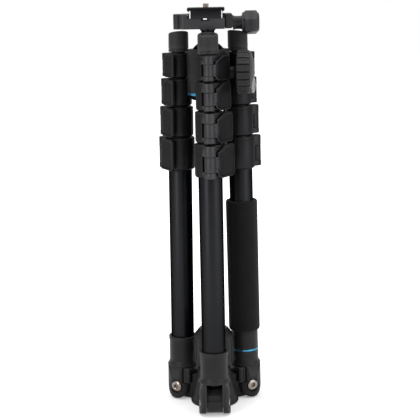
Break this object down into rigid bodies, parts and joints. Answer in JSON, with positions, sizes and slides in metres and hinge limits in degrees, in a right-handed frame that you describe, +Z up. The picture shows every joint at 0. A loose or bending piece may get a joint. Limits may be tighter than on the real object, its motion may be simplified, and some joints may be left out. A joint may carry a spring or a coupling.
{
  "type": "travel tripod",
  "caption": "Travel tripod folded for carrying: flip-lock telescoping legs turned up round a centre column and ball head with a dovetail camera plate.",
  "frame": {"origin": "centre of the hub's base, on the surface that the folded tripod stands on", "axes": "+Z up along the centre column to the camera plate; -Y towards the front leg; +X towards the clamp knob"},
  "size_m": [0.1094, 0.1001, 0.4286],
  "materials": {
    "casting_paint": "fine textured black paint",
    "bright_steel": "bright steel",
    "inner_plastic": "black moulding",
    "tube_black": "satin black anodised tube",
    "tab_plastic": "black moulding",
    "lock_plastic": "fine-grained black moulding",
    "tube_and_lock": "satin black tube with a bonded matte black lock collar",
    "foot_rubber": "matte black rubber",
    "blue_ring": "blue anodised, glossy",
    "foam": "matte closed-cell foam",
    "black_anodised": "gloss black anodised",
    "housing_metal": "fine textured black paint",
    "knob_plastic": "rubbery dark grey moulding",
    "dial_silver": "silver anodised",
    "clamp_metal": "bead-blasted dark grey anodising"
  },
  "bodies": {
    "hub": {"spider": "casting_paint", "pivot_bolts": "bright_steel", "column_collet": "inner_plastic"},
    "column_lock": {"column_lock_collar": "casting_paint"},
    "column": {"column_tube": "tube_black", "column_cap": "inner_plastic", "pan_base": "black_anodised", "pan_ring": "blue_ring"},
    "head": {"head_housing": "housing_metal"},
    "pan_lock": {"pan_knob": "knob_plastic"},
    "ball_lock": {"main_knob": "knob_plastic"},
    "drag_control": {"drag_dial": "dial_silver"},
    "ball": {"ball_stem": "black_anodised", "clamp_body": "clamp_metal"},
    "jaw": {"clamp_jaw": "knob_plastic"},
    "clamp_lock": {"clamp_knob": "clamp_metal"},
    "plate": {"quick_release_plate": "black_anodised"},
    "screw": {"camera_screw": "bright_steel"},
    "front_leg": {"front_casting": "casting_paint", "front_tube_1": "tube_black", "front_collar_1": "lock_plastic"},
    "front_angle_tab": {"front_stop_tab": "tab_plastic"},
    "front_lock_1": {"front_lever_1": "lock_plastic"},
    "front_part_2": {"front_section_2": "tube_and_lock"},
    "front_lock_2": {"front_lever_2": "lock_plastic"},
    "front_part_3": {"front_section_3": "tube_and_lock"},
    "front_lock_3": {"front_lever_3": "lock_plastic"},
    "front_part_4": {"front_section_4": "tube_and_lock"},
    "front_lock_4": {"front_lever_4": "lock_plastic"},
    "front_part_5": {"front_section_5": "tube_black", "front_foot": "foot_rubber"},
    "right_leg": {"right_casting": "casting_paint", "right_tube_1": "tube_black", "right_collar_1": "lock_plastic", "sleeve_ring": "blue_ring", "monopod_sleeve": "casting_paint", "foam_grip": "foam"},
    "right_angle_tab": {"right_stop_tab": "tab_plastic"},
    "right_lock_1": {"right_lever_1": "lock_plastic"},
    "right_part_2": {"right_section_2": "tube_and_lock"},
    "right_lock_2": {"right_lever_2": "lock_plastic"},
    "right_part_3": {"right_section_3": "tube_and_lock"},
    "right_lock_3": {"right_lever_3": "lock_plastic"},
    "right_part_4": {"right_section_4": "tube_and_lock"},
    "right_lock_4": {"right_lever_4": "lock_plastic"},
    "right_part_5": {"right_section_5": "tube_black", "right_foot": "foot_rubber"},
    "left_leg": {"left_casting": "casting_paint", "left_tube_1": "tube_black", "left_collar_1": "lock_plastic"},
    "left_angle_tab": {"left_stop_tab": "tab_plastic"},
    "left_lock_1": {"left_lever_1": "lock_plastic"},
    "left_part_2": {"left_section_2": "tube_and_lock"},
    "left_lock_2": {"left_lever_2": "lock_plastic"},
    "left_part_3": {"left_section_3": "tube_and_lock"},
    "left_lock_3": {"left_lever_3": "lock_plastic"},
    "left_part_4": {"left_section_4": "tube_and_lock"},
    "left_lock_4": {"left_lever_4": "lock_plastic"},
    "left_part_5": {"left_section_5": "tube_black", "left_foot": "foot_rubber"}
  },
  "joints": [
    {"name": "column_lock_twist", "type": "hinge", "parent": "hub", "child": "column_lock", "pos_m": [0, 0, 0.039], "axis": [0, 0, 1], "range_deg": [0, 60]},
    {"name": "column_slide", "type": "slide", "parent": "hub", "child": "column", "axis": [0, 0, 1], "range_m": [-0.0008, 0.03]},
    {"name": "head_pan", "type": "hinge", "parent": "column", "child": "head", "pos_m": [0, 0, 0.3379], "axis": [0, 0, 1], "range_deg": [-4.5, 2.3]},
    {"name": "pan_knob_turn", "type": "hinge", "parent": "head", "child": "pan_lock", "pos_m": [0, 0.02238, 0.3459], "axis": [0, 1, 0], "range_deg": [0, 180]},
    {"name": "main_knob_turn", "type": "hinge", "parent": "head", "child": "ball_lock", "pos_m": [0.0298, -0.018, 0.3589], "axis": [0.9945, -0.1045, 0], "range_deg": [0, 360]},
    {"name": "drag_dial_turn", "type": "hinge", "parent": "ball_lock", "child": "drag_control", "pos_m": [0.04253, -0.01934, 0.3459], "axis": [0.9613, -0.2756, 0], "range_deg": [0, 270]},
    {"name": "ball_tilt", "type": "hinge", "parent": "head", "child": "ball", "pos_m": [0, 0, 0.3712], "axis": [1, 0, 0], "range_deg": [-2, 7]},
    {"name": "jaw_slide", "type": "slide", "parent": "ball", "child": "jaw", "axis": [1, 0, 0], "range_m": [0, 0.003]},
    {"name": "clamp_knob_turn", "type": "hinge", "parent": "jaw", "child": "clamp_lock", "pos_m": [0.029, 0, 0.4084], "axis": [1, 0, 0], "range_deg": [0, 1080]},
    {"name": "plate_slide", "type": "slide", "parent": "ball", "child": "plate", "axis": [0, 1, 0], "range_m": [-0.008, 0.008]},
    {"name": "camera_screw_turn", "type": "hinge", "parent": "plate", "child": "screw", "pos_m": [-0.0016, 0, 0.4138], "axis": [0, 0, 1], "continuous": true},
    {"name": "front_leg_fold", "type": "hinge", "parent": "hub", "child": "front_leg", "pos_m": [0, -0.04, 0.014], "axis": [1, 0, 0], "range_deg": [0, 158.6]},
    {"name": "front_tab_pull", "type": "slide", "parent": "front_leg", "child": "front_angle_tab", "axis": [0, 0.9999, -0.0112], "range_m": [0, 0.0025], "stiffness_N_per_m": 300},
    {"name": "front_lever_1_flip", "type": "hinge", "parent": "front_leg", "child": "front_lock_1", "pos_m": [0, -0.05637, 0.27195], "axis": [0, -0.0112, -0.9999], "range_deg": [0, 100]},
    {"name": "front_section_2_slide", "type": "slide", "parent": "front_leg", "child": "front_part_2", "axis": [0, 0.0112, 0.9999], "range_m": [0, 0.19]},
    {"name": "front_lever_2_flip", "type": "hinge", "parent": "front_part_2", "child": "front_lock_2", "pos_m": [0, -0.05444, 0.30593], "axis": [0, -0.0112, -0.9999], "range_deg": [0, 100]},
    {"name": "front_section_3_slide", "type": "slide", "parent": "front_part_2", "child": "front_part_3", "axis": [0, 0.0112, 0.9999], "range_m": [0, 0.206]},
    {"name": "front_lever_3_flip", "type": "hinge", "parent": "front_part_3", "child": "front_lock_3", "pos_m": [0, -0.05254, 0.33701], "axis": [0, -0.0112, -0.9999], "range_deg": [0, 100]},
    {"name": "front_section_4_slide", "type": "slide", "parent": "front_part_3", "child": "front_part_4", "axis": [0, 0.0112, 0.9999], "range_m": [0, 0.222]},
    {"name": "front_lever_4_flip", "type": "hinge", "parent": "front_part_4", "child": "front_lock_4", "pos_m": [0, -0.05068, 0.36519], "axis": [0, -0.0112, -0.9999], "range_deg": [0, 100]},
    {"name": "front_section_5_slide", "type": "slide", "parent": "front_part_4", "child": "front_part_5", "axis": [0, 0.0112, 0.9999], "range_m": [0, 0.238]},
    {"name": "right_leg_fold", "type": "hinge", "parent": "hub", "child": "right_leg", "pos_m": [0.03464, 0.02, 0.014], "axis": [-0.5, 0.866, 0], "range_deg": [0, 158.6]},
    {"name": "right_tab_pull", "type": "slide", "parent": "right_leg", "child": "right_angle_tab", "axis": [-0.866, -0.5, -0.0112], "range_m": [0, 0.0025], "stiffness_N_per_m": 300},
    {"name": "right_lever_1_flip", "type": "hinge", "parent": "right_leg", "child": "right_lock_1", "pos_m": [0.04882, 0.02818, 0.27195], "axis": [0.0097, 0.0056, -0.9999], "range_deg": [0, 100]},
    {"name": "right_section_2_slide", "type": "slide", "parent": "right_leg", "child": "right_part_2", "axis": [-0.0097, -0.0056, 0.9999], "range_m": [0, 0.19]},
    {"name": "right_lever_2_flip", "type": "hinge", "parent": "right_part_2", "child": "right_lock_2", "pos_m": [0.04715, 0.02722, 0.30593], "axis": [0.0097, 0.0056, -0.9999], "range_deg": [0, 100]},
    {"name": "right_section_3_slide", "type": "slide", "parent": "right_part_2", "child": "right_part_3", "axis": [-0.0097, -0.0056, 0.9999], "range_m": [0, 0.206]},
    {"name": "right_lever_3_flip", "type": "hinge", "parent": "right_part_3", "child": "right_lock_3", "pos_m": [0.0455, 0.02627, 0.33701], "axis": [0.0097, 0.0056, -0.9999], "range_deg": [0, 100]},
    {"name": "right_section_4_slide", "type": "slide", "parent": "right_part_3", "child": "right_part_4", "axis": [-0.0097, -0.0056, 0.9999], "range_m": [0, 0.222]},
    {"name": "right_lever_4_flip", "type": "hinge", "parent": "right_part_4", "child": "right_lock_4", "pos_m": [0.04389, 0.02534, 0.36519], "axis": [0.0097, 0.0056, -0.9999], "range_deg": [0, 100]},
    {"name": "right_section_5_slide", "type": "slide", "parent": "right_part_4", "child": "right_part_5", "axis": [-0.0097, -0.0056, 0.9999], "range_m": [0, 0.238]},
    {"name": "left_leg_fold", "type": "hinge", "parent": "hub", "child": "left_leg", "pos_m": [-0.03464, 0.02, 0.014], "axis": [-0.5, -0.866, 0], "range_deg": [0, 158.6]},
    {"name": "left_tab_pull", "type": "slide", "parent": "left_leg", "child": "left_angle_tab", "axis": [0.866, -0.5, -0.0112], "range_m": [0, 0.0025], "stiffness_N_per_m": 300},
    {"name": "left_lever_1_flip", "type": "hinge", "parent": "left_leg", "child": "left_lock_1", "pos_m": [-0.04882, 0.02818, 0.27195], "axis": [-0.0097, 0.0056, -0.9999], "range_deg": [0, 100]},
    {"name": "left_section_2_slide", "type": "slide", "parent": "left_leg", "child": "left_part_2", "axis": [0.0097, -0.0056, 0.9999], "range_m": [0, 0.19]},
    {"name": "left_lever_2_flip", "type": "hinge", "parent": "left_part_2", "child": "left_lock_2", "pos_m": [-0.04715, 0.02722, 0.30593], "axis": [-0.0097, 0.0056, -0.9999], "range_deg": [0, 100]},
    {"name": "left_section_3_slide", "type": "slide", "parent": "left_part_2", "child": "left_part_3", "axis": [0.0097, -0.0056, 0.9999], "range_m": [0, 0.206]},
    {"name": "left_lever_3_flip", "type": "hinge", "parent": "left_part_3", "child": "left_lock_3", "pos_m": [-0.0455, 0.02627, 0.33701], "axis": [-0.0097, 0.0056, -0.9999], "range_deg": [0, 100]},
    {"name": "left_section_4_slide", "type": "slide", "parent": "left_part_3", "child": "left_part_4", "axis": [0.0097, -0.0056, 0.9999], "range_m": [0, 0.222]},
    {"name": "left_lever_4_flip", "type": "hinge", "parent": "left_part_4", "child": "left_lock_4", "pos_m": [-0.04389, 0.02534, 0.36519], "axis": [-0.0097, 0.0056, -0.9999], "range_deg": [0, 100]},
    {"name": "left_section_5_slide", "type": "slide", "parent": "left_part_4", "child": "left_part_5", "axis": [0.0097, -0.0056, 0.9999], "range_m": [0, 0.238]}
  ],
  "couplings": [
    {"joint": "clamp_knob_turn", "follows": "jaw_slide", "rad_per_m": 6283.2},
    {"joint": "front_section_2_slide", "follows": "front_leg_fold", "m_per_rad": 0.068639},
    {"joint": "front_section_3_slide", "follows": "front_leg_fold", "m_per_rad": 0.074419},
    {"joint": "front_section_4_slide", "follows": "front_leg_fold", "m_per_rad": 0.0802},
    {"joint": "front_section_5_slide", "follows": "front_leg_fold", "m_per_rad": 0.08598},
    {"joint": "right_section_2_slide", "follows": "right_leg_fold", "m_per_rad": 0.068639},
    {"joint": "right_section_3_slide", "follows": "right_leg_fold", "m_per_rad": 0.074419},
    {"joint": "right_section_4_slide", "follows": "right_leg_fold", "m_per_rad": 0.0802},
    {"joint": "right_section_5_slide", "follows": "right_leg_fold", "m_per_rad": 0.08598},
    {"joint": "left_section_2_slide", "follows": "left_leg_fold", "m_per_rad": 0.068639},
    {"joint": "left_section_3_slide", "follows": "left_leg_fold", "m_per_rad": 0.074419},
    {"joint": "left_section_4_slide", "follows": "left_leg_fold", "m_per_rad": 0.0802},
    {"joint": "left_section_5_slide", "follows": "left_leg_fold", "m_per_rad": 0.08598}
  ]
}
